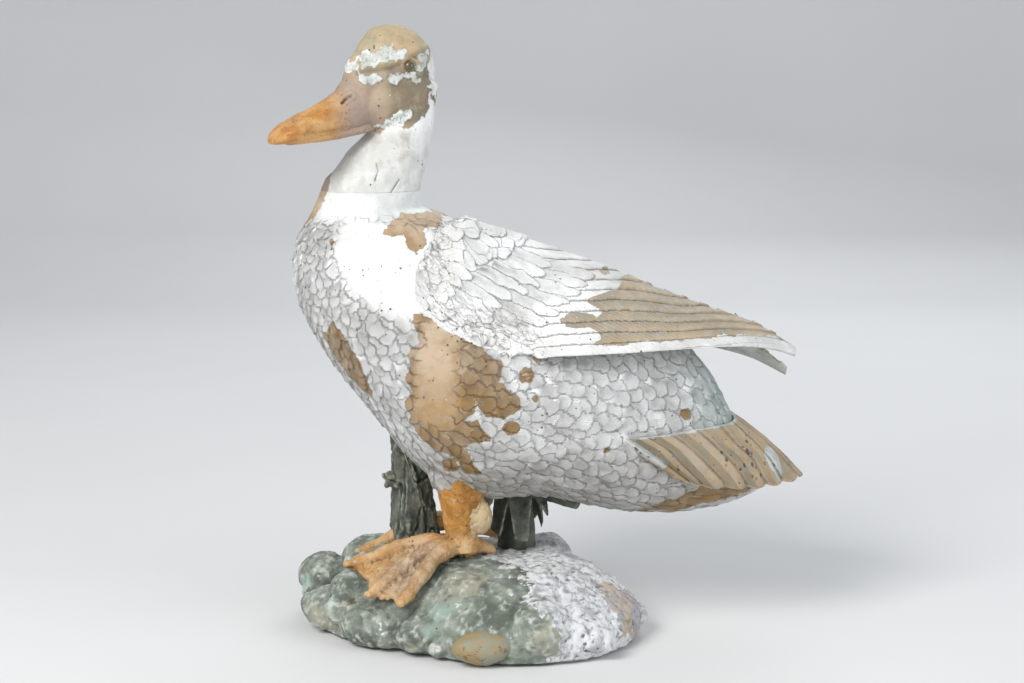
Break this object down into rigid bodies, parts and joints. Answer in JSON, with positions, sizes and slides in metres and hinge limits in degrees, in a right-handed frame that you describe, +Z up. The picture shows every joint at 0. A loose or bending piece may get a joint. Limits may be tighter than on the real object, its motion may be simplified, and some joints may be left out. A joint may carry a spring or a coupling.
{
  "type": "standing duck garden figure",
  "caption": "Standing duck figure with turned head, folded wings and fanned tail, cast in parts over steel rods and fixed to a rocky base with a stump.",
  "frame": {"origin": "centre of the bounding box in plan, on the surface that the felt pads stand on", "axes": "+Z up, the duck faces -X, its left side faces -Y and its tail is at +X"},
  "size_m": [0.3258, 0.1888, 0.3717],
  "materials": {
    "chalk_paint": "matte",
    "bare_resin": "matte",
    "orange_paint": "satin",
    "dark_green_paint": "satin",
    "mossy_stone_paint": "matte",
    "pebble_paint": "satin",
    "eye_bead": "gloss",
    "felt": "matte",
    "board": "matte",
    "steel_rod": "satin"
  },
  "bodies": {
    "root": {"base_rock": "mossy_stone_paint", "base_board": "board", "felt_pad_1": "felt", "felt_pad_2": "felt", "felt_pad_3": "felt", "felt_pad_4": "felt", "pebble_front": "pebble_paint", "stump": "dark_green_paint", "leaf_clump": "dark_green_paint", "leg_left": "orange_paint", "leg_right": "orange_paint", "leg_rod_left": "steel_rod", "leg_rod_right": "steel_rod", "body_casting": "chalk_paint", "wing_left": "chalk_paint", "wing_right": "chalk_paint", "tail_fan": "bare_resin", "head_neck": "chalk_paint", "neck_rod": "steel_rod", "bill_upper": "orange_paint", "bill_lower": "orange_paint", "eye_left": "eye_bead", "eye_right": "eye_bead"}
  },
  "joints": []
}
